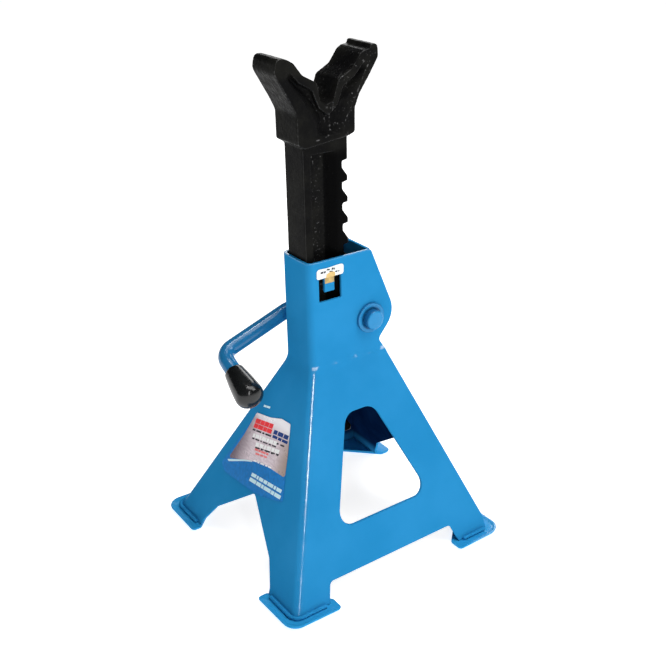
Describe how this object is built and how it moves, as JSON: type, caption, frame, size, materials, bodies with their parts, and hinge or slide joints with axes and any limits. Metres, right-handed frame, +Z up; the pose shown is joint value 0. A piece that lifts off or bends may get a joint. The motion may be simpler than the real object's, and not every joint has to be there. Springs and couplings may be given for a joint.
{
  "type": "axle jack stand",
  "caption": "Ratchet axle stand: stamped blue pyramid base, black cast toothed column with a V saddle, and a pawl worked by a bent lever.",
  "frame": {"origin": "centre of the base on the floor, at the bottom centre of the bounding box", "axes": "+Z up along the column; +X towards the column's teeth, the pivot ears and the rear panel; the labelled front face looks along -X; the lever lies on the +Y side"},
  "size_m": [0.263, 0.257, 0.5042],
  "materials": {
    "blue_paint": "gloss enamel",
    "black_casting": "black gloss enamel over a rough casting",
    "bare_steel": "dull grey casting",
    "pin_steel": "bright plain steel",
    "grip_plastic": "smooth black moulding",
    "label_film": "printed glossy film",
    "sticker_film": "printed film"
  },
  "bodies": {
    "base": {"front_shell": "blue_paint", "rear_panel": "blue_paint", "throat_plate": "blue_paint", "column_guide": "blue_paint", "foot_pad_front": "blue_paint", "foot_pad_left": "blue_paint", "foot_pad_right": "blue_paint", "foot_pad_rear": "blue_paint", "seam_weld_near": "blue_paint", "seam_weld_far": "blue_paint", "throat_weld_near": "blue_paint", "throat_weld_far": "blue_paint", "corner_weld_near": "blue_paint", "corner_weld_far": "blue_paint", "side_weld_near": "blue_paint", "side_weld_far": "blue_paint", "rear_weld_near": "blue_paint", "rear_weld_far": "blue_paint", "front_label": "label_film", "throat_sticker": "sticker_film"},
    "column": {"ratchet_column": "black_casting"},
    "lever": {"pawl": "bare_steel", "pawl_pin": "pin_steel", "lever_bar": "blue_paint", "lever_grip": "grip_plastic", "washer_near": "blue_paint", "washer_far": "blue_paint", "end_cap": "blue_paint"}
  },
  "joints": [
    {"name": "column_slide", "type": "slide", "parent": "base", "child": "column", "axis": [0, 0, 1], "range_m": [-0.103, 0.1442]},
    {"name": "lever_pivot", "type": "hinge", "parent": "base", "child": "lever", "pos_m": [0.0365, 0, 0.238], "axis": [0, 1, 0], "range_deg": [0, 32]}
  ]
}
